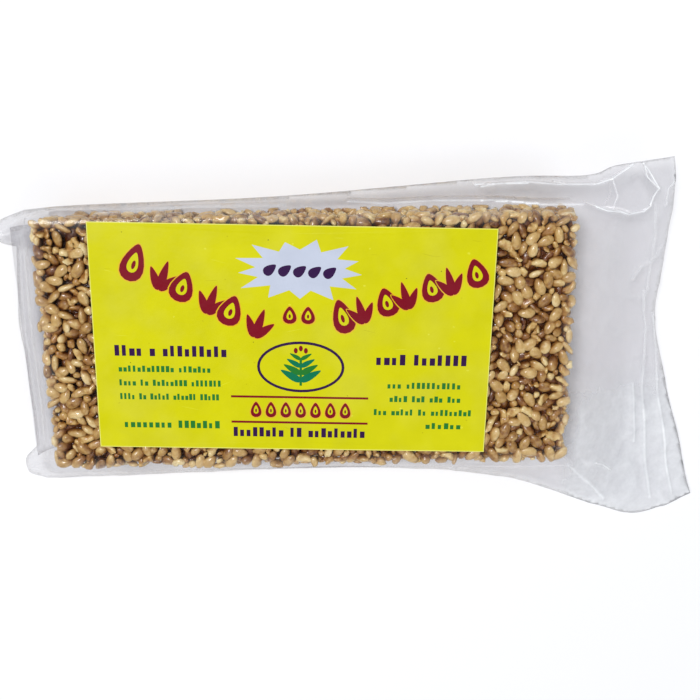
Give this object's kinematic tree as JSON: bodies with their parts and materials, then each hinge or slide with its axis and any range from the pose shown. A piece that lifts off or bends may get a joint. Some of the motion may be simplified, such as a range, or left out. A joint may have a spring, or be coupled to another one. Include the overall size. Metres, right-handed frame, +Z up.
{
  "type": "sesame brittle slab",
  "caption": "Flat oblong slab of toasted sesame seeds set in syrup, in a clear film bag that is wider at its sealed end, with a plain-print paper label on its face.",
  "frame": {"origin": "middle of the whole pack's footprint, on the surface that it lies on", "axes": "+X along the slab towards the bag's wide sealed end, +Y across the slab towards the top of the print, +Z up out of the labelled face"},
  "size_m": [0.1484, 0.0782, 0.0148],
  "materials": {
    "seeds_in_syrup": "toasted tan seeds with a glossy coat of brown syrup between them",
    "printed_paper": "smooth yellow paper with a plain print in dark red, purple, green and white",
    "clear_film": "thin clear glossy film with creases and a heat seal"
  },
  "bodies": {
    "root": {"slab": "seeds_in_syrup", "label": "printed_paper", "bag": "clear_film"}
  },
  "joints": []
}
